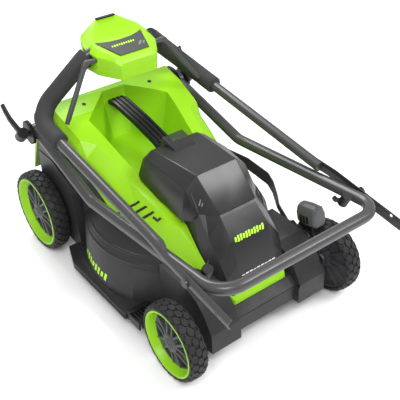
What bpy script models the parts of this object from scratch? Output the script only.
"""Cordless push lawn mower, folded for storage: one object for each piece.

Metres. +Z is up, the front is -Y and the operator's left is +X. The origin is
on the ground under the centre of the bounding box.
"""

import math

import bmesh
import bpy
from mathutils import Matrix, Vector

# Driving dimensions
GAP = 0.0003
TRACK = 0.440
WHEEL_WIDTH = 0.040
FRONT_AXLE_Y = -0.219
REAR_AXLE_Y = 0.294
FRONT_RADIUS = 0.081
REAR_RADIUS = 0.094
RIM_RATIO = 0.87
DISH_RATIO = 0.72
SPINDLE_RADIUS = 0.005
CRANK_BACK = 0.049
CRANK_DROP = 0.025
CRANK_X = 0.168

DRUM_Y = 0.045
DRUM_FOOT_RADIUS = 0.207
DRUM_SHOULDER_RADIUS = 0.200
DECK_FOOT_Z = 0.030
WALL = 0.004
FLANGE_HALF_WIDTH = 0.218

BLADE_LENGTH = 0.356
BLADE_Z = 0.052

DECK_PIVOT = Vector((0.0, 0.2875, 0.302))
LOWER_TUBE_RADIUS = 0.012
LOWER_TUBE_X = 0.1905
EYE_X = 0.1870
DOG_LEG = Vector((0.0, 0.0645, 0.238))
CROSS_BAR = Vector((0.0, -0.3430, 0.2745))
CORNER_RADIUS = 0.047

FOLD_PIVOT = Vector((0.0, -0.2768, 0.2686))
UPPER_TUBE_RADIUS = 0.011
UPPER_TUBE_X = 0.1965
LEG_SLOPE = 0.148
CHANNEL_FRONT = 0.1105
CHANNEL_REAR = 0.062
ROUND_START = 0.098
GRIP_CORNER_Y = 0.2590
GRIP_RADIUS = 0.0190
GRIP_START_Y = 0.1585
GRIP_BORE = 0.0118
GRIP_END_X = 0.0775
BOX_SIDE = Vector((0.0715, 0.2280, 0.4675))

GREEN = (0.28, 0.70, 0.02)
CHARCOAL = (0.030, 0.030, 0.032)
TUBE_GREY = (0.075, 0.075, 0.080)
BLACK = (0.012, 0.012, 0.013)
STEEL = (0.45, 0.46, 0.48)


def clear_scene():
    for obj in list(bpy.data.objects):
        bpy.data.objects.remove(obj)


def new_collection(name):
    collection = bpy.data.collections.new(name)
    bpy.context.scene.collection.children.link(collection)
    return collection


clear_scene()
PARTS = new_collection("push_lawn_mower")
CUTTERS = new_collection("cutters")


def material(name, colour, roughness, metallic=0.0, alpha=1.0):
    made = bpy.data.materials.get(name)
    if made is None:
        made = bpy.data.materials.new(name)
        made.use_nodes = True
        shader = made.node_tree.nodes["Principled BSDF"]
        shader.inputs["Base Color"].default_value = (*colour, 1.0)
        shader.inputs["Roughness"].default_value = roughness
        shader.inputs["Metallic"].default_value = metallic
        shader.inputs["Alpha"].default_value = alpha
        made.diffuse_color = (*colour, 1.0)
    return made


GREEN_PLASTIC = material("green_plastic", GREEN, 0.35)
DECK_PLASTIC = material("charcoal_plastic", CHARCOAL, 0.5)
BLACK_PLASTIC = material("black_plastic", BLACK, 0.45)
TUBE_PAINT = material("grey_tube_paint", TUBE_GREY, 0.4, 0.3)
TYRE_RUBBER = material("tyre_rubber", (0.022, 0.022, 0.023), 0.8)
FOAM = material("grip_foam", (0.035, 0.035, 0.036), 0.85)
STEEL_BARE = material("bare_steel", STEEL, 0.35, 1.0)
BLADE_PAINT = material("blade_paint", (0.05, 0.05, 0.055), 0.4, 0.6)
SMOKED = material("smoked_lid", (0.03, 0.03, 0.03), 0.15, 0.0, 0.6)
ALUMINIUM = material("aluminium_case", (0.55, 0.56, 0.58), 0.4, 1.0)
LEVER_GREY = material("lever_grey", (0.13, 0.13, 0.14), 0.45)


def add_object(name, mesh, finish, collection=None):
    obj = bpy.data.objects.new(name, mesh)
    (collection or PARTS).objects.link(obj)
    if finish is not None:
        mesh.materials.clear()
        mesh.materials.append(finish)
    return obj


def mesh_from(bm, name):
    bmesh.ops.recalc_face_normals(bm, faces=bm.faces)
    mesh = bpy.data.meshes.new(name)
    bm.to_mesh(mesh)
    bm.free()
    return mesh


def smooth(obj, angle=35.0):
    obj.data.shade_smooth()
    obj.data.set_sharp_from_angle(angle=math.radians(angle))
    return obj


def bevel(obj, width, segments=1, angle=30.0):
    edges = obj.modifiers.new("rounded_edges", "BEVEL")
    edges.width = width
    edges.segments = segments
    edges.limit_method = "ANGLE"
    edges.angle_limit = math.radians(angle)
    return obj


def box(name, low, high, finish, collection=None):
    """A box between two opposite corners, its origin at its centre."""
    bm = bmesh.new()
    bmesh.ops.create_cube(bm, size=1.0)
    low = Vector(low)
    high = Vector(high)
    bmesh.ops.scale(bm, vec=high - low, verts=bm.verts)
    obj = add_object(name, mesh_from(bm, name), finish, collection)
    obj.location = (low + high) / 2
    return obj


def cylinder(name, start, end, radius, finish, sides=24, collection=None, end_radius=None):
    """A cylinder or cone along the line from start to end, its origin at its middle."""
    start = Vector(start)
    end = Vector(end)
    bm = bmesh.new()
    bmesh.ops.create_cone(bm, cap_ends=True, segments=sides, radius1=radius,
                          radius2=radius if end_radius is None else end_radius,
                          depth=(end - start).length)
    obj = add_object(name, mesh_from(bm, name), finish, collection)
    obj.location = (start + end) / 2
    obj.rotation_euler = (end - start).to_track_quat("Z", "Y").to_euler()
    return obj


def turned(name, profile, centre, axis, finish, sides=32, collection=None):
    """A closed (radius, height) profile turned about an axis through centre.

    The profile runs from top to bottom down the outer side.
    """
    mesh = bpy.data.meshes.new(name)
    count = len(profile)
    points = [(radius, 0.0, height) for radius, height in profile]
    edges = [(i, i + 1) for i in range(count - 1)]
    if profile[0][0] > 1e-6 or profile[-1][0] > 1e-6:
        edges.append((count - 1, 0))
    mesh.from_pydata(points, edges, [])
    obj = add_object(name, mesh, finish, collection)
    screw = obj.modifiers.new("turn", "SCREW")
    screw.axis = "Z"
    screw.steps = sides
    screw.render_steps = sides
    screw.use_merge_vertices = True
    screw.merge_threshold = 0.00001
    obj.location = centre
    obj.rotation_euler = Vector(axis).to_track_quat("Z", "Y").to_euler()
    return obj


def plate(name, outline, thickness, centre, axes, finish, collection=None):
    """A flat outline of (u, v) points, extruded evenly to both sides of its plane.

    axes gives the directions of u and v; the plate's normal is their product.
    """
    curve = bpy.data.curves.new(name, "CURVE")
    curve.dimensions = "2D"
    curve.fill_mode = "BOTH"
    curve.extrude = thickness / 2
    spline = curve.splines.new("POLY")
    spline.points.add(len(outline) - 1)
    for point, (u, v) in zip(spline.points, outline):
        point.co = (u, v, 0.0, 1.0)
    spline.use_cyclic_u = True
    made = bpy.data.objects.new(name, curve)
    (collection or PARTS).objects.link(made)
    u_axis = Vector(axes[0]).normalized()
    v_axis = Vector(axes[1]).normalized()
    turn = Matrix((u_axis, v_axis, u_axis.cross(v_axis))).transposed()
    made.matrix_world = Matrix.Translation(centre) @ turn.to_4x4()
    return curve_to_mesh(made, finish)


def curve_to_mesh(made, finish):
    """Replaces a curve object by its mesh, with the caps welded on."""
    bpy.context.view_layer.update()
    graph = bpy.context.evaluated_depsgraph_get()
    mesh = bpy.data.meshes.new_from_object(made.evaluated_get(graph))
    bm = bmesh.new()
    bm.from_mesh(mesh)
    bmesh.ops.remove_doubles(bm, verts=bm.verts, dist=0.00002)
    bm.to_mesh(mesh)
    bm.free()
    name = made.name
    collection = made.users_collection[0]
    place = made.matrix_world.copy()
    bpy.data.objects.remove(made)
    obj = add_object(name, mesh, finish, collection)
    obj.matrix_world = place
    return obj


def tube(name, points, radius, finish, resolution=2, capped=True, collection=None):
    """A round bar through the points; resolution 2 gives twelve sides."""
    curve = bpy.data.curves.new(name, "CURVE")
    curve.dimensions = "3D"
    curve.bevel_depth = radius
    curve.bevel_resolution = resolution
    curve.use_fill_caps = capped
    spline = curve.splines.new("POLY")
    spline.points.add(len(points) - 1)
    for point, place in zip(spline.points, points):
        point.co = (*place, 1.0)
    made = bpy.data.objects.new(name, curve)
    (collection or PARTS).objects.link(made)
    return curve_to_mesh(made, finish)


def loft(name, sections, finish, collection=None):
    """A closed solid through closed loops that all have the same number of points.

    Every side is split the same way, so a grown copy keeps an even distance all round.
    """
    bm = bmesh.new()
    rings = [[bm.verts.new(point) for point in section] for section in sections]
    count = len(sections[0])
    for near, far in zip(rings, rings[1:]):
        for i in range(count):
            j = (i + 1) % count
            if i < count // 2:
                bm.faces.new((near[i], near[j], far[j]))
                bm.faces.new((near[i], far[j], far[i]))
            else:
                bm.faces.new((near[i], near[j], far[i]))
                bm.faces.new((near[j], far[j], far[i]))
    bm.faces.new(rings[0])
    bm.faces.new(rings[-1])
    return add_object(name, mesh_from(bm, name), finish, collection)


def rounded(corners, radius, steps=4):
    """The corners of an open path, each inner one replaced by an arc."""
    corners = [Vector(corner) for corner in corners]
    path = [corners[0]]
    for before, here, after in zip(corners, corners[1:], corners[2:]):
        back = (before - here).normalized()
        on = (after - here).normalized()
        half = back.angle(on) / 2
        reach = radius / math.tan(half)
        bisector = (back + on).normalized()
        middle = here + bisector * (radius / math.sin(half))
        first = (here + back * reach - middle).normalized()
        last = (here + on * reach - middle).normalized()
        for step in range(steps + 1):
            path.append(middle + first.slerp(last, step / steps) * radius)
    path.append(corners[-1])
    return path


def boolean(obj, others, operation):
    """Cuts, joins or intersects obj with hidden helper objects."""
    for index, other in enumerate(others):
        other.hide_render = True
        other.display_type = "WIRE"
        step = obj.modifiers.new(f"{operation.lower()}_{index}", "BOOLEAN")
        step.operation = operation
        step.solver = "EXACT"
        step.object = other
    return obj


def cut(obj, *others):
    return boolean(obj, others, "DIFFERENCE")


def join(obj, *others):
    return boolean(obj, others, "UNION")


def helper_box(low, high):
    return box("cutter_box", low, high, None, CUTTERS)


def helper_cylinder(start, end, radius, sides=24):
    return cylinder("cutter_round", start, end, radius, None, sides, CUTTERS)


def at_y(y, half_outline):
    """A symmetric closed loop at one y from its +X half, listed from top to bottom."""
    right = [(x, y, z) for x, z in half_outline]
    left = [(-x, y, z) for x, z in reversed(half_outline)]
    return right + left


# Deck ---------------------------------------------------------------------

DRUM_PROFILE = (
    (0.000, 0.228), (0.075, 0.226), (0.130, 0.205), (0.165, 0.180), (0.190, 0.152),
    (DRUM_SHOULDER_RADIUS, 0.130), (DRUM_FOOT_RADIUS, DECK_FOOT_Z), (0.000, DECK_FOOT_Z),
)
NOSE_HALF = 0.147
REAR_HALF = 0.175
FRONT_PIVOT_Y = FRONT_AXLE_Y + CRANK_BACK
FRONT_PIVOT_Z = FRONT_RADIUS - CRANK_DROP
REAR_PIVOT_Y = REAR_AXLE_Y + CRANK_BACK
REAR_PIVOT_Z = REAR_RADIUS - CRANK_DROP

TOWER_STATIONS = (
    # y, half width at the top, top z, half width at the bottom
    (0.2990, 0.150, 0.338, 0.160),
    (0.2780, 0.147, 0.336, 0.160),
    (0.2275, 0.147, 0.322, 0.159),
    (0.1700, 0.143, 0.300, 0.156),
    (0.1480, 0.117, 0.290, 0.154),
    (0.1000, 0.109, 0.266, 0.151),
    (0.0550, 0.103, 0.244, 0.148),
    (0.0000, 0.104, 0.240, 0.138),
    (-0.0700, 0.102, 0.225, 0.126),
    (-0.1000, 0.092, 0.212, 0.117),
    (-0.1500, 0.080, 0.168, 0.100),
)
COVER_STATIONS = (
    # y, half widths and heights of the top edge, the shoulder and the foot
    (0.2835, 0.151, 0.351, 0.158, 0.338, 0.163, 0.296),
    (0.2275, 0.151, 0.336, 0.158, 0.322, 0.163, 0.272),
    (0.1700, 0.147, 0.314, 0.156, 0.298, 0.160, 0.256),
    (0.1480, 0.121, 0.303, 0.148, 0.280, 0.158, 0.246),
    (0.1000, 0.113, 0.279, 0.140, 0.262, 0.156, 0.228),
    (0.0550, 0.107, 0.256, 0.133, 0.238, 0.153, 0.199),
    (0.0000, 0.110, 0.2515, 0.128, 0.225, 0.143, 0.184),
    (-0.0700, 0.109, 0.236, 0.121, 0.204, 0.131, 0.174),
    (-0.1000, 0.098, 0.223, 0.112, 0.184, 0.122, 0.163),
    (-0.1550, 0.086, 0.178, 0.097, 0.156, 0.104, 0.148),
    (-0.2180, 0.071, 0.123, 0.074, 0.112, 0.076, 0.100),
    (-0.2320, 0.063, 0.107, 0.064, 0.104, 0.065, 0.100),
)
NOSE_OUTLINE = (
    (-0.2640, 0.0450), (-0.2620, 0.0890), (-0.2420, 0.1220), (-0.2190, 0.1440),
    (-0.1890, 0.1550), (-0.1463, 0.1580), (-0.1000, 0.1580), (-0.1000, 0.0360),
)
SIDE = ((0, 1, 0), (0, 0, 1))
PLAN = ((1, 0, 0), (0, 1, 0))


def tower(name, grow, low_z, finish, collection):
    sections = []
    for y, top_half, top_z, low_half in TOWER_STATIONS:
        half = ((top_half + grow, top_z + grow), (low_half + grow, min(low_z, top_z - 0.02)))
        sections.append(at_y(y, half))
    return loft(name, sections, finish, collection)


def drum(name, grow, finish, collection, base=DECK_FOOT_Z):
    """The blade housing's outer form, grown evenly for a cutter."""
    profile = [(radius + grow if radius > 0.0 else 0.0, height + grow)
               for radius, height in DRUM_PROFILE[:-2]]
    profile += [(DRUM_FOOT_RADIUS + grow, base), (0.0, base)]
    return turned(name, profile, (0.0, DRUM_Y, 0.0), (0, 0, 1), finish, 40, collection)


def nose_block(name, grow, finish, collection):
    outline = [(y, z + grow) for y, z in NOSE_OUTLINE]
    return plate(name, outline, 2 * (NOSE_HALF + grow), (0, 0, 0), SIDE, finish, collection)


def deck_shell():
    deck = drum("deck_shell", 0.0, DECK_PLASTIC, PARTS)
    flange = plate("flange_block", (
        (-FLANGE_HALF_WIDTH, -0.072), (FLANGE_HALF_WIDTH, -0.072),
        (FLANGE_HALF_WIDTH, 0.135), (0.197, 0.192), (-0.197, 0.192),
        (-FLANGE_HALF_WIDTH, 0.135)), 0.014, (0, 0, 0.040), PLAN, None, CUTTERS)
    nose = nose_block("nose_block", 0.0, None, CUTTERS)
    cover_room = hood("nose_cover_room", shift_ends(COVER_STATIONS, 2 * GAP, 0.0), 2 * GAP, None,
                      CUTTERS)
    cut(nose, cover_room)
    rear = plate("rear_block", (
        (0.1700, 0.036), (0.1880, 0.180), (0.2100, 0.210), (0.2600, 0.230), (0.3250, 0.230),
        (0.3250, 0.100), (0.3520, 0.090), (0.3520, 0.060), (0.2800, 0.052)),
        2 * REAR_HALF, (0, 0, 0), SIDE, None, CUTTERS)
    body = tower("tower_block", 0.0, 0.10, None, CUTTERS)
    join(deck, flange, nose, rear, body)

    inside = [(max(radius - WALL, 0.0), height - WALL) for radius, height in DRUM_PROFILE[:-2]]
    inside += [(DRUM_FOOT_RADIUS - WALL, 0.010), (0.0, 0.010)]
    hollow = turned("drum_hollow", inside, (0.0, DRUM_Y, 0.0), (0, 0, 1), None, 40, CUTTERS)
    nose_hollow = plate("nose_hollow", (
        (-0.2460, 0.020), (-0.2460, 0.0760), (-0.2300, 0.0940), (-0.1640, 0.0940),
        (-0.1640, 0.020)), 2 * (NOSE_HALF - WALL), (0, 0, 0), SIDE, None, CUTTERS)
    front_recess = helper_box((-0.076, -0.300, 0.000), (0.076, -0.2520, 0.300))
    front_lift = helper_box((-0.076, -0.300, 0.000), (0.076, -0.2200, 0.0510))
    apron = plate("apron", ((-0.3000, 0.0835), (-0.2500, 0.0835), (-0.2330, 0.0990),
                            (-0.1900, 0.0990), (-0.1900, 0.4000), (-0.3000, 0.4000)), 0.158,
                  (0, 0, 0), SIDE, None, CUTTERS)
    chute = plate("chute_hollow", (
        (0.1500, 0.085), (0.1500, 0.175), (0.2200, 0.222), (0.3700, 0.222),
        (0.3700, 0.112), (0.2600, 0.104)), 0.280, (0, 0, 0), SIDE, None, CUTTERS)
    top_pocket = tub("top_pocket", 0.0045, 0.2350, None)
    motor_room = hood("motor_room", shift_ends(MOTOR_STATIONS, 0.004, 0.0018), 0.0018, None,
                      CUTTERS)
    cut(motor_room, drum("motor_room_floor", 0.0, None, CUTTERS))
    motor_hole = helper_cylinder((0, DRUM_Y, 0.190), (0, DRUM_Y, 0.260), 0.0515)
    front_axle_slot = helper_box((-0.230, FRONT_PIVOT_Y - 0.0065, 0.020),
                                 (0.230, -0.1640, FRONT_PIVOT_Z + 0.0065))
    rear_axle_slot = helper_box((-0.230, REAR_PIVOT_Y - 0.0065, 0.020),
                                (0.230, REAR_PIVOT_Y + 0.0065, REAR_PIVOT_Z + 0.0065))
    pockets = [helper_box((side * 0.166 - 0.016, 0.262, 0.020),
                          (side * 0.166 + 0.016, 0.380, 0.1535)) for side in (-1, 1)]
    rear_gap = helper_box((-0.135, 0.330, 0.020), (0.135, 0.380, 0.105))
    cut(deck, hollow, nose_hollow, front_recess, front_lift, apron, chute, top_pocket, motor_room,
        motor_hole, front_axle_slot, rear_axle_slot, *pockets, rear_gap)
    return deck


# Covers -------------------------------------------------------------------

MOTOR_STATIONS = (
    # y, half widths and heights of the top edge, the shoulder and the foot
    (0.0445, 0.048, 0.302, 0.066, 0.290, 0.083, 0.150),
    (-0.0300, 0.048, 0.312, 0.071, 0.299, 0.086, 0.150),
    (-0.1020, 0.043, 0.309, 0.069, 0.294, 0.087, 0.140),
    (-0.1620, 0.043, 0.258, 0.073, 0.222, 0.087, 0.146),
    (-0.1965, 0.046, 0.222, 0.0745, 0.187, 0.083, 0.132),
    (-0.2150, 0.0455, 0.180, 0.071, 0.150, 0.073, 0.120),
    (-0.2235, 0.044, 0.150, 0.063, 0.126, 0.063, 0.116),
)
LID_STATIONS = (
    # y, half widths and heights of the top edge, the shoulder and the foot
    (0.0530, 0.052, 0.308, 0.071, 0.297, 0.0850, 0.262),
    (0.0400, 0.056, 0.317, 0.075, 0.305, 0.0880, 0.256),
    (-0.0300, 0.052, 0.3200, 0.077, 0.307, 0.0910, 0.246),
    (-0.1020, 0.047, 0.3175, 0.075, 0.302, 0.0915, 0.238),
    (-0.1240, 0.0455, 0.2985, 0.0745, 0.272, 0.0840, 0.244),
    (-0.1600, 0.0435, 0.2660, 0.0600, 0.2600, 0.0640, 0.2540),
)


def hood(name, stations, grow, finish, collection=None):
    """A symmetric hood whose sections have a top edge, a shoulder and a foot."""
    sections = []
    for y, top_x, top_z, mid_x, mid_z, foot_x, foot_z in stations:
        half = ((top_x + grow, top_z + grow), (mid_x + grow, mid_z),
                (foot_x + grow, foot_z - grow))
        sections.append(at_y(y, half))
    return loft(name, sections, finish, collection)


def shift_ends(stations, front, rear):
    """The same stations with the first and last moved along y."""
    moved = [list(station) for station in stations]
    moved[0][0] += rear
    moved[-1][0] -= front
    return moved


def tub(name, grow, floor_z, finish):
    """The hand recess under the carry handle: eight corners at the top and the floor."""
    top = ((0.028, 0.270), (0.101, 0.208), (0.096, 0.064), (0.050, 0.060))
    low = ((0.024, 0.246), (0.078, 0.200), (0.078, 0.076), (0.046, 0.072))
    rings = []
    for corners, z in ((top, 0.400), (top, 0.326), (low, floor_z)):
        half = [(x + grow, y + (grow if y > 0.15 else -grow)) for x, y in corners]
        rings.append([(x, y, z) for x, y in half] + [(-x, y, z) for x, y in reversed(half)])
    return loft(name, rings, finish, CUTTERS)


def top_cover():
    cover = hood("top_cover", COVER_STATIONS, 0.0, GREEN_PLASTIC)
    inside = tower("cover_tower", 2 * GAP, 0.10, None, CUTTERS)
    below = drum("cover_drum", 2 * GAP, None, CUTTERS)
    tub_shell = tub("tub_shell", 0.003, 0.2365, None)
    trim = plate("tub_trim", ((0.300, 0.345), (0.170, 0.305), (0.060, 0.247), (-0.100, 0.247),
                              (-0.100, 0.500), (0.300, 0.500)), 0.400, (0, 0, 0), SIDE, None,
                 CUTTERS)
    cut(tub_shell, trim)
    cut(cover, inside, below)
    join(cover, tub_shell)
    middle = hood("cover_opening", shift_ends(MOTOR_STATIONS, 0.004, 0.0053), 0.0018, None,
                  CUTTERS)
    lid_room = hood("cover_lid_room", shift_ends(LID_STATIONS, 0.0018, 0.0018), 0.0018, None,
                    CUTTERS)
    holes = [helper_cylinder((side * 0.085, 0.253, 0.300), (side * 0.085, 0.253, 0.360),
                             0.004, 12) for side in (-1, 1)]
    cut(cover, tub("tub_hollow", 0.0, 0.2395, None), middle, lid_room, *holes)
    return cover


def motor_cover():
    cover = hood("motor_cover", MOTOR_STATIONS, 0.0, DECK_PLASTIC)
    inside = hood("motor_cover_hollow", shift_ends(MOTOR_STATIONS, -0.004, -0.004), -0.0035,
                  None, CUTTERS)
    for vertex in inside.data.vertices:
        if vertex.co.z < 0.170:
            vertex.co.z -= 0.060
    below = drum("motor_cover_drum", 2 * GAP, None, CUTTERS)
    bay = helper_box((-0.0450, -0.0960, 0.240), (0.0450, 0.0390, 0.400))
    cut(cover, inside, below, bay)
    return cover


def battery_lid():
    lid = hood("battery_lid", LID_STATIONS, 0.0, SMOKED)
    room = hood("lid_hollow", shift_ends(MOTOR_STATIONS, 0.004, 0.0050), 0.0024, None, CUTTERS)
    under = plate("lid_under", ((0.080, 0.180), (0.080, 0.2640), (0.050, 0.2640),
                                (0.000, 0.2470), (-0.080, 0.2400), (-0.124, 0.2500),
                                (-0.158, 0.2590), (-0.200, 0.2590), (-0.200, 0.180)),
                  0.300, (0, 0, 0), SIDE, None, CUTTERS)
    tab = plate("lid_tab", ((0.0600, 0.303), (0.0480, 0.332), (0.0100, 0.3215),
                            (-0.0100, 0.3100), (0.0450, 0.3060)), 0.052, (0, 0, 0), SIDE, None,
                CUTTERS)
    join(lid, tab)
    cut(lid, room, under)
    return lid


def battery_bay():
    bay = box("battery_bay", (-0.0440, -0.0950, 0.2340), (0.0440, 0.0380, 0.2960), BLACK_PLASTIC)
    cut(bay, helper_box((-0.0410, -0.0920, 0.2370), (0.0410, 0.0350, 0.400)))
    return bay


def battery_pack():
    pack = box("battery_pack", (-0.0395, -0.0840, 0.2375), (0.0395, 0.0335, 0.2960),
               BLACK_PLASTIC)
    return bevel(pack, 0.004)


def safety_key():
    return bevel(box("safety_key", (-0.0100, -0.0910, 0.2375), (0.0100, -0.0850, 0.3000),
                     GREEN_PLASTIC), 0.0015)


def carry_handle():
    """A bar of rounded section that dips at both ends into the cover and the hood."""
    path = ((0.2630, 0.3200), (0.2420, 0.3240), (0.1650, 0.3120), (0.0945, 0.2960),
            (0.0705, 0.2870))
    half_width = 0.0200
    thick = 0.0140
    sections = []
    for index, (y, z) in enumerate(path):
        before = Vector((0, *path[max(index - 1, 0)]))
        after = Vector((0, *path[min(index + 1, len(path) - 1)]))
        along = (after - before).normalized()
        up = Vector((1, 0, 0)).cross(along)
        up = up if up.z > 0 else -up
        middle = Vector((0, y, z))
        loop = []
        for x, w in ((-1, -0.35), (-0.8, -1), (0.8, -1), (1, -0.35), (1, 0.35), (0.8, 1),
                     (-0.8, 1), (-1, 0.35)):
            loop.append(middle + Vector((x * half_width, 0, 0)) + up * (w * thick / 2))
        sections.append(loop)
    return loft("carry_handle", sections, BLACK_PLASTIC)


# Drive --------------------------------------------------------------------

def motor_can():
    can = cylinder("motor_can", (0, DRUM_Y, 0.1720), (0, DRUM_Y, 0.2266), 0.0500, ALUMINIUM, 32)
    bore = helper_cylinder((0, DRUM_Y, 0.160), (0, DRUM_Y, 0.2190), 0.0063)
    return cut(can, bore)


def motor_shaft():
    return cylinder("motor_shaft", (0, DRUM_Y, 0.0600), (0, DRUM_Y, 0.2180), 0.0060, STEEL_BARE)


def control_module():
    return bevel(box("control_module", (-0.0400, -0.1300, 0.2060), (0.0400, -0.0980, 0.2290),
                     ALUMINIUM), 0.002)


def blade_carrier():
    carrier = turned("blade_carrier", ((0.0064, 0.0850), (0.0150, 0.0850), (0.0180, 0.0620),
                                       (0.0300, 0.0600), (0.0300, 0.0540), (0.0064, 0.0540)),
                     (0, DRUM_Y, 0), (0, 0, 1), ALUMINIUM, 24)
    return carrier


def blade():
    half = BLADE_LENGTH / 2
    bar = plate("blade", ((-half, -0.0120), (-half + 0.060, -0.0220), (half, -0.0220),
                          (half, 0.0120), (half - 0.060, 0.0220), (-half, 0.0220)),
                0.0030, (0, DRUM_Y, BLADE_Z), PLAN, BLADE_PAINT)
    return cut(bar, helper_cylinder((0, DRUM_Y, 0.040), (0, DRUM_Y, 0.065), 0.0063))


def blade_bolt():
    bolt = turned("blade_bolt", ((0.0, 0.0590), (0.0058, 0.0590), (0.0058, 0.0498),
                                 (0.0120, 0.0498), (0.0120, 0.0420), (0.0, 0.0420)),
                  (0, DRUM_Y, 0), (0, 0, 1), STEEL_BARE, 6)
    return bolt


# Wheels and height adjustment ---------------------------------------------

def wheel(name, side, y, radius):
    """Tyre, coloured rim ring and spoked hub, their origins on the spindle's axis."""
    centre = Vector((side * (TRACK / 2 - WHEEL_WIDTH / 2), y, radius))
    axis = (side, 0, 0)
    half = WHEEL_WIDTH / 2
    seat = radius * RIM_RATIO
    dish = radius * DISH_RATIO
    tyre = ((seat, half - 0.001), (radius - 0.006, half), (radius - 0.0015, half - 0.004),
            (radius, half - 0.010), (radius, -half + 0.010), (radius - 0.0015, -half + 0.004),
            (radius - 0.006, -half), (seat, -half + 0.001))
    smooth(turned(f"{name}_tyre", tyre, centre, axis, TYRE_RUBBER, 36))
    ring = ((dish, half - 0.012), (seat - GAP - 0.003, half - 0.0012), (seat - GAP, half - 0.003),
            (seat - GAP, -half + 0.004), (dish, -half + 0.004))
    smooth(turned(f"{name}_rim", ring, centre, axis, GREEN_PLASTIC, 36))
    web = dish - GAP
    bore = SPINDLE_RADIUS + GAP
    hub = ((bore, half - 0.0035), (0.0100, half - 0.0035), (0.0170, half - 0.007),
           (0.0180, half - 0.014), (web, half - 0.015), (web, half - 0.022),
           (0.0200, half - 0.022), (0.0200, -half + 0.002), (bore, -half + 0.002))
    smooth(turned(f"{name}_hub", hub, centre, axis, DECK_PLASTIC, 28))


def axle(name, wheel_y, wheel_z, pivot_y, pivot_z):
    """A rod cranked at both ends; its origin is on the pivot axis."""
    spindle = TRACK / 2 - 0.0045
    half = [(CRANK_X, wheel_y, wheel_z), (CRANK_X, pivot_y, pivot_z)]
    corners = [(spindle, wheel_y, wheel_z)] + half
    corners += [(-x, y, z) for x, y, z in reversed(corners)]
    path = rounded(corners, 0.0075, 3)
    return smooth(tube(name, path, SPINDLE_RADIUS, STEEL_BARE, 3))


LINK_UP = Vector((0.0, 0.010, 0.060))
LEVER_INNER_X = 0.1585


def clamp_arm(name, x, pivot, others, width, thickness, finish):
    """A flat arm from the axle through the other points, with a bore round the axle."""
    spots = [Vector(pivot)] + [Vector(other) for other in others]
    first = spots[1] - spots[0]
    side = Vector((0, -first.z, first.y)).normalized() * width / 2
    outline = []
    for spot in spots:
        outline.append(spot + side)
    for spot in reversed(spots):
        outline.append(spot - side)
    end = (spots[0] - spots[1]).normalized() * width / 2
    outline = [spots[0] + end + side * 0.5] + outline + [spots[0] + end - side * 0.5]
    arm = plate(name, [(point.y, point.z) for point in outline], thickness, (x, 0, 0), SIDE,
                finish)
    return cut(arm, helper_cylinder((x - 0.02, pivot[1], pivot[2]),
                                    (x + 0.02, pivot[1], pivot[2]), SPINDLE_RADIUS + GAP, 16))


def height_parts():
    front = (0.0, FRONT_PIVOT_Y, FRONT_PIVOT_Z)
    rear = (0.0, REAR_PIVOT_Y, REAR_PIVOT_Z)
    axle("front_axle", FRONT_AXLE_Y, FRONT_RADIUS, front[1], front[2])
    axle("rear_axle", REAR_AXLE_Y, REAR_RADIUS, rear[1], rear[2])

    front_pin = Vector(front) + LINK_UP
    rear_pin = Vector(rear) + LINK_UP
    lever = clamp_arm("height_lever", LEVER_INNER_X, front,
                      [(0, front_pin.y, front_pin.z), (0, -0.1815, 0.1640)], 0.017, 0.004,
                      BLACK_PLASTIC)
    stud = cylinder("front_link_stud", (LEVER_INNER_X, front_pin.y, front_pin.z),
                    (0.1752, front_pin.y, front_pin.z), 0.0042, None, 16, CUTTERS)
    join(lever, stud)
    knob = box("height_lever_knob", (0.1545, -0.2100, 0.1560), (0.1870, -0.1640, 0.2080),
               LEVER_GREY)
    knob.rotation_euler = (math.radians(-12), 0, 0)
    slot = helper_box((LEVER_INNER_X - 0.0024, -0.198, 0.140),
                      (LEVER_INNER_X + 0.0024, -0.166, 0.1670))
    cut(bevel(knob, 0.006, 2), slot)
    rear_arm = clamp_arm("rear_link_arm", LEVER_INNER_X, rear, [rear_pin], 0.017, 0.004,
                         BLACK_PLASTIC)
    join(rear_arm, cylinder("rear_link_stud", (LEVER_INNER_X, rear_pin.y, rear_pin.z),
                            (0.1752, rear_pin.y, rear_pin.z), 0.0042, None, 16, CUTTERS))

    link_bar(front_pin, rear_pin)
    height_rack(front)


def link_bar(front_pin, rear_pin):
    """A flat bar from lever to rear arm, joggled outwards past the blade housing."""
    inner_x = 0.1715
    outer_x = 0.2050
    width = 0.020
    thick = 0.0026
    stations = (
        (front_pin.y - 0.009, front_pin.z, inner_x), (front_pin.y + 0.012, front_pin.z, inner_x),
        (-0.118, 0.122, inner_x + 0.002), (-0.084, 0.141, inner_x + 0.004),
        (-0.048, 0.154, outer_x - 0.006), (-0.024, 0.159, outer_x), (0.040, 0.166, outer_x),
        (0.137, 0.168, outer_x), (0.191, 0.162, inner_x + 0.0042),
        (rear_pin.y - 0.030, 0.146, inner_x + 0.0042), (rear_pin.y - 0.012, rear_pin.z, inner_x),
        (rear_pin.y + 0.009, rear_pin.z, inner_x),
    )
    sections = []
    for y, z, x in stations:
        sections.append([(x, y, z - width / 2), (x + thick, y, z - width / 2),
                         (x + thick, y, z + width / 2), (x, y, z + width / 2)])
    bar = loft("height_link_bar", sections, TUBE_PAINT)
    holes = [helper_cylinder((0.160, pin.y, pin.z), (0.190, pin.y, pin.z), 0.0046, 16)
             for pin in (front_pin, rear_pin)]
    cut(bar, *holes)


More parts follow.
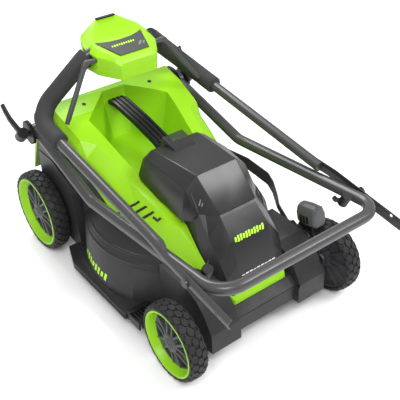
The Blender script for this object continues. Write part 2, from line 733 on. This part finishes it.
def height_rack(front):
    """A toothed sector beside the lever, which holds it at one of its heights."""
    outline = []
    inner = 0.084
    for step in range(13):
        angle = math.radians(78 + step * 6.0)
        reach = 0.104 if step % 2 else 0.099
        outline.append((front[1] + reach * math.cos(angle), front[2] + reach * math.sin(angle)))
    for step in reversed(range(13)):
        angle = math.radians(78 + step * 6.0)
        outline.append((front[1] + inner * math.cos(angle), front[2] + inner * math.sin(angle)))
    plate("height_rack", outline, 0.0062, (0.1506, 0, 0), SIDE, BLACK_PLASTIC)


# Handle -------------------------------------------------------------------

def lower_handle_path():
    half = [(EYE_X, DECK_PIVOT.y, DECK_PIVOT.z),
            (LOWER_TUBE_X, DOG_LEG.y, DOG_LEG.z), (LOWER_TUBE_X, CROSS_BAR.y, CROSS_BAR.z)]
    other = [(-x, y, z) for x, y, z in reversed(half)]
    return rounded(half + other, CORNER_RADIUS, 5)


def lower_handle():
    handle = tube("lower_handle_tube", lower_handle_path(), LOWER_TUBE_RADIUS, TUBE_PAINT)
    eyes = []
    bores = []
    for side in (-1, 1):
        pivot = Vector((side * EYE_X, DECK_PIVOT.y, DECK_PIVOT.z))
        reach = Vector((0.0118, 0, 0))
        eyes.append(helper_cylinder(pivot - reach, pivot + reach, 0.0150))
        bores.append(helper_cylinder(pivot - 2 * reach, pivot + 2 * reach, 0.0043, 16))
        fold = Vector((side * LOWER_TUBE_X, FOLD_PIVOT.y, FOLD_PIVOT.z))
        bores.append(helper_cylinder(fold - 2 * reach, fold + 2 * reach, 0.0043, 16))
    join(handle, *eyes)
    cut(handle, *bores)
    return smooth(handle)


LEG_DIRECTION = Vector((0.0, 1.0, LEG_SLOPE)).normalized()
LEG_UP = Vector((0.0, -LEG_SLOPE, 1.0)).normalized()


def on_leg(distance, x):
    """The point of a leg's centre line at a distance behind the fold pivot."""
    return Vector((x, FOLD_PIVOT.y, FOLD_PIVOT.z)) + LEG_DIRECTION * distance


def grip_corner(side):
    distance = (GRIP_CORNER_Y - FOLD_PIVOT.y) / LEG_DIRECTION.y
    return on_leg(distance, side * UPPER_TUBE_X)


def upper_handle_path():
    right = [on_leg(ROUND_START, -UPPER_TUBE_X), grip_corner(-1),
             (-BOX_SIDE.x, BOX_SIDE.y, BOX_SIDE.z)]
    path = rounded(right + [(BOX_SIDE.x, BOX_SIDE.y, BOX_SIDE.z)], 0.050, 5)
    half = path[:-1]
    return half + [Vector((-x, y, z)) for x, y, z in reversed(half)]


def half_pipe(name, side, finish, collection):
    """The pressed end of a leg: a trough outside the lower tube, open inwards."""
    sections = []
    for distance, outer in ((-CHANNEL_FRONT, 0.0145), (CHANNEL_REAR, 0.0145),
                            (ROUND_START, 0.0120), (ROUND_START + 0.012, 0.0120)):
        middle = on_leg(distance, side * UPPER_TUBE_X)
        loop = []
        for radius, steps in ((outer, range(-4, 5)), (outer - 0.0018, range(4, -5, -1))):
            for step in steps:
                angle = math.radians(step * 15.0)
                loop.append(middle + Vector((side * radius * math.cos(angle), 0, 0))
                            + LEG_UP * (radius * math.sin(angle)))
        sections.append(loop)
    return loft(name, sections, finish, collection)


def upper_handle():
    handle = tube("upper_handle_tube", upper_handle_path(), UPPER_TUBE_RADIUS, TUBE_PAINT)
    join(handle, *[half_pipe("channel", side, None, CUTTERS) for side in (-1, 1)])
    for side in (-1, 1):
        pivot = on_leg(0.0, side * UPPER_TUBE_X)
        bore = helper_cylinder(pivot, pivot + Vector((side * 0.03, 0, 0)), 0.0043, 16)
        end = on_leg(0.030 - CHANNEL_FRONT, side * UPPER_TUBE_X)
        hole = helper_cylinder(end, end + Vector((side * 0.03, 0, 0)), 0.0035, 16)
        cut(handle, bore, hole)
    return smooth(handle)


def grip_foam(name, side):
    """A foam sleeve round the loop, from the leg to the switch box."""
    start = (GRIP_START_Y - FOLD_PIVOT.y) / LEG_DIRECTION.y
    path = [on_leg(start, side * UPPER_TUBE_X)]
    for x, y, z in upper_handle_path()[1:]:
        near = path[-1]
        here = Vector((-side * x, y, z))
        if abs(x) < GRIP_END_X:
            path.append(near.lerp(here, (abs(near.x) - GRIP_END_X) / (abs(near.x) - abs(x))))
            break
        path.append(here)
    foam = tube(name, path, GRIP_BORE, FOAM, 2, False)
    wall = foam.modifiers.new("foam_wall", "SOLIDIFY")
    wall.thickness = GRIP_RADIUS - GRIP_BORE
    wall.offset = 1.0
    return foam


BOX_STATIONS = (
    # y, half widths and heights of the top edge, the widest edge and the foot
    (0.2920, 0.020, 0.500, 0.050, 0.480, 0.050, 0.441),
    (0.2780, 0.022, 0.5110, 0.061, 0.484, 0.061, 0.436),
    (0.2640, 0.034, 0.5010, 0.070, 0.4835, 0.069, 0.434),
    (0.2380, 0.055, 0.4835, 0.0765, 0.474, 0.076, 0.430),
    (0.2285, 0.064, 0.4804, 0.0775, 0.470, 0.077, 0.429),
    (0.2000, 0.060, 0.4750, 0.0725, 0.466, 0.072, 0.426),
    (0.1640, 0.044, 0.4681, 0.0520, 0.462, 0.051, 0.4240),
    (0.1535, 0.038, 0.4580, 0.0425, 0.452, 0.0415, 0.4225),
)
BOX_SPLIT_Z = 0.4430


def switch_box():
    """Two shells clamped round the loop's bar; the upper one carries the switches."""
    upper = hood("switch_box_upper", BOX_STATIONS, 0.0, GREEN_PLASTIC)
    lower = hood("switch_box_lower", BOX_STATIONS, 0.0, GREEN_PLASTIC)
    cut(upper, helper_box((-0.120, 0.100, 0.380), (0.120, 0.340, BOX_SPLIT_Z + GAP / 2)),
        helper_box((-0.045, 0.170, 0.430), (0.045, 0.270, 0.4515)),
        tube("box_bar_bore", upper_handle_path(), GRIP_BORE, None, 2, True,
             CUTTERS),
        tube("box_bail_bore", bail_points(), 0.0056, None, 2, True, CUTTERS),
        helper_cylinder((0, 0.2780, 0.480), (0, 0.3100, 0.480), 0.0093))
    for side in (-1, 1):
        end = Vector((side * BOX_SIDE.x, BOX_SIDE.y, BOX_SIDE.z))
        out = (grip_corner(side) - end).normalized()
        room = helper_cylinder(end + out * 0.002, end + out * 0.060, GRIP_RADIUS + 0.0016)
        cut(upper, room)
        cut(lower, room)
    cut(lower, helper_box((-0.120, 0.100, BOX_SPLIT_Z - GAP / 2), (0.120, 0.340, 0.560)),
        helper_box((-0.045, 0.170, 0.4350), (0.045, 0.270, 0.4560)))


BAIL_AXIS = Vector((0.0, 0.2035, 0.4585))


def bail_points():
    """From one tip up to the cross bar, which turns in the switch box, to the other tip."""
    half = [Vector((0.1670, 0.1780, 0.3550)), BAIL_AXIS + Vector((0.0960, 0, 0))]
    corners = half + [Vector((-x, y, z)) for x, y, z in reversed(half)]
    return rounded(corners, 0.0100, 3)


def bail_lever():
    return smooth(tube("bail_lever", bail_points(), 0.0050, LEVER_GREY))


def label_panel():
    """A thin dark panel on the box's sloping face."""
    outline = ((-0.0560, 0.0340), (-0.0420, 0.0280), (-0.0250, 0.0235), (0.0, 0.0215),
               (0.0250, 0.0235), (0.0420, 0.0280), (0.0560, 0.0340), (0.0350, -0.0300),
               (-0.0350, -0.0300))
    return plate("label_panel", outline, 0.0016, (0, 0.1960, 0.4760),
                 ((1, 0, 0), (0, 1, 0.19)), DECK_PLASTIC)


def start_button():
    return cylinder("start_button", (0, 0.2830, 0.480), (0, 0.2980, 0.480), 0.0090,
                    DECK_PLASTIC, 24)


def bracket(name, side):
    """A plate on the deck's shoulder with a round boss at the handle's pivot."""
    middle = DECK_PIVOT
    outline = []
    for step in range(13):
        angle = math.radians(-30 + step * 20.0)
        outline.append((middle.y + 0.038 * math.cos(angle), middle.z + 0.038 * math.sin(angle)))
    outline += [(0.2200, 0.2305), (0.3240, 0.2305)]
    made = plate(name, outline, 0.0080, (side * 0.1700, 0, 0), SIDE, BLACK_PLASTIC)
    bore = helper_cylinder((side * 0.15, middle.y, middle.z), (side * 0.19, middle.y, middle.z),
                           0.0043, 16)
    return cut(made, bore)


def pivot_bolt(name, x_inner, x_outer, head_x, pivot, side, head_radius=0.0085):
    """A bolt along X; the head is a wider disc at head_x, beyond one end."""
    low, high = sorted((x_inner, x_outer))
    shank = cylinder(name, (side * low, pivot.y, pivot.z), (side * high, pivot.y, pivot.z),
                     0.0040, STEEL_BARE, 16)
    near, far = sorted(head_x)
    head = helper_cylinder((side * near, pivot.y, pivot.z), (side * far, pivot.y, pivot.z),
                           head_radius)
    return join(shank, head)


def cam_lever(name, side, pivot, path, half_wide, barrel_radius):
    """A cam barrel across the bolt and a curved lever, which tapers to its tip."""
    sections = []
    along = (Vector(path[-1]) - Vector(path[0])).normalized()
    wide = along.cross(Vector((1, 0, 0))).normalized()
    wide = Vector((side * wide.x, wide.y, wide.z))
    for index, (x, y, z) in enumerate(path):
        share = index / (len(path) - 1)
        across = wide * half_wide * (1 - 0.35 * share)
        out = Vector((half_wide * 0.55 * (1 - 0.25 * share), 0, 0))
        middle = Vector((side * x, y, z))
        sections.append([middle + across * a + out * b
                         for a, b in ((-1, -0.4), (-0.6, -1), (0.6, -1), (1, -0.4), (1, 0.4),
                                      (0.6, 1), (-0.6, 1), (-1, 0.4))])
    lever = loft(name, sections, BLACK_PLASTIC)
    barrel = Vector((side * path[0][0], pivot.y, pivot.z))
    return join(lever, helper_cylinder(barrel - wide * 0.0125, barrel + wide * 0.0125,
                                       barrel_radius))


def pivot_disc(name, side):
    """The ribbed clamping disc outside the lower handle's eye."""
    disc = cylinder(name, (side * 0.1995, DECK_PIVOT.y, DECK_PIVOT.z),
                    (side * 0.2075, DECK_PIVOT.y, DECK_PIVOT.z), 0.0260, BLACK_PLASTIC, 28)
    return cut(disc, helper_cylinder((side * 0.19, DECK_PIVOT.y, DECK_PIVOT.z),
                                     (side * 0.22, DECK_PIVOT.y, DECK_PIVOT.z), 0.0043, 16))


def handle_fittings():
    for name, side in (("left", 1), ("right", -1)):
        bracket(f"{name}_handle_bracket", side)
        pivot_disc(f"{name}_pivot_disc", side)
        pivot_bolt(f"{name}_deck_bolt", 0.1640, 0.2082, (0.1637, 0.1657), DECK_PIVOT, side)
        pivot_bolt(f"{name}_fold_bolt", 0.1782, 0.2150, (0.2114, 0.2150), FOLD_PIVOT, side)
        cam_lever(f"{name}_deck_cam_lever", side, DECK_PIVOT,
                  ((0.2215, 0.2920, 0.3060), (0.2250, 0.3050, 0.3160), (0.2290, 0.3200, 0.3290),
                   (0.2305, 0.3330, 0.3430), (0.2320, 0.3400, 0.3560)), 0.0095, 0.0125)
        cam_lever(f"{name}_fold_cam_lever", side, FOLD_PIVOT,
                  ((0.1678, -0.2740, 0.2670), (0.1640, -0.2680, 0.2640),
                   (0.1580, -0.2630, 0.2650), (0.1530, -0.2610, 0.2730)), 0.0080, 0.0100)


# Rear ---------------------------------------------------------------------

FLAP_TOP = Vector((0.0, 0.3300, 0.2900))


def rear_flap():
    outline = ((0.3262, 0.2870), (0.3300, 0.2960), (0.3360, 0.2960), (0.3390, 0.2870),
               (0.3870, 0.1520), (0.3830, 0.1505))
    flap = plate("rear_flap", outline, 0.3300, (0, 0, 0), SIDE, GREEN_PLASTIC)
    bore = helper_cylinder((-0.2, 0.3320, 0.2900), (0.2, 0.3320, 0.2900), 0.0028, 16)
    return cut(flap, bore)


def flap_rod():
    return cylinder("flap_hinge_rod", (-0.1690, 0.3320, 0.2900), (0.1690, 0.3320, 0.2900), 0.0025,
                    STEEL_BARE, 16)


def edge_comb(name, side):
    """A row of fins between the deck's flange and the front wheel."""
    comb = box(name, (min(side * 0.158, side * 0.214), -0.0845, 0.0340),
               (max(side * 0.158, side * 0.214), -0.0725, 0.0560), BLACK_PLASTIC)
    fins = []
    for step in range(8):
        x = side * (0.1600 + step * 0.0074)
        fins.append(helper_box((min(x, x + side * 0.0032), -0.1180, 0.0360),
                               (max(x, x + side * 0.0032), -0.0800, 0.0540)))
    join(comb, *fins)
    return cut(comb, drum(f"{name}_room", 4 * GAP, None, CUTTERS, 0.020))


def build():
    deck_shell()
    top_cover()
    motor_cover()
    battery_lid()
    battery_bay()
    battery_pack()
    safety_key()
    carry_handle()
    motor_can()
    motor_shaft()
    control_module()
    blade_carrier()
    blade()
    blade_bolt()
    for name, side in (("left", 1), ("right", -1)):
        wheel(f"front_{name}", side, FRONT_AXLE_Y, FRONT_RADIUS)
        wheel(f"rear_{name}", side, REAR_AXLE_Y, REAR_RADIUS)
        grip_foam(f"{name}_grip_foam", side)
        edge_comb(f"{name}_edge_comb", side)
    height_parts()
    lower_handle()
    upper_handle()
    switch_box()
    bail_lever()
    label_panel()
    start_button()
    handle_fittings()
    rear_flap()
    flap_rod()


build()
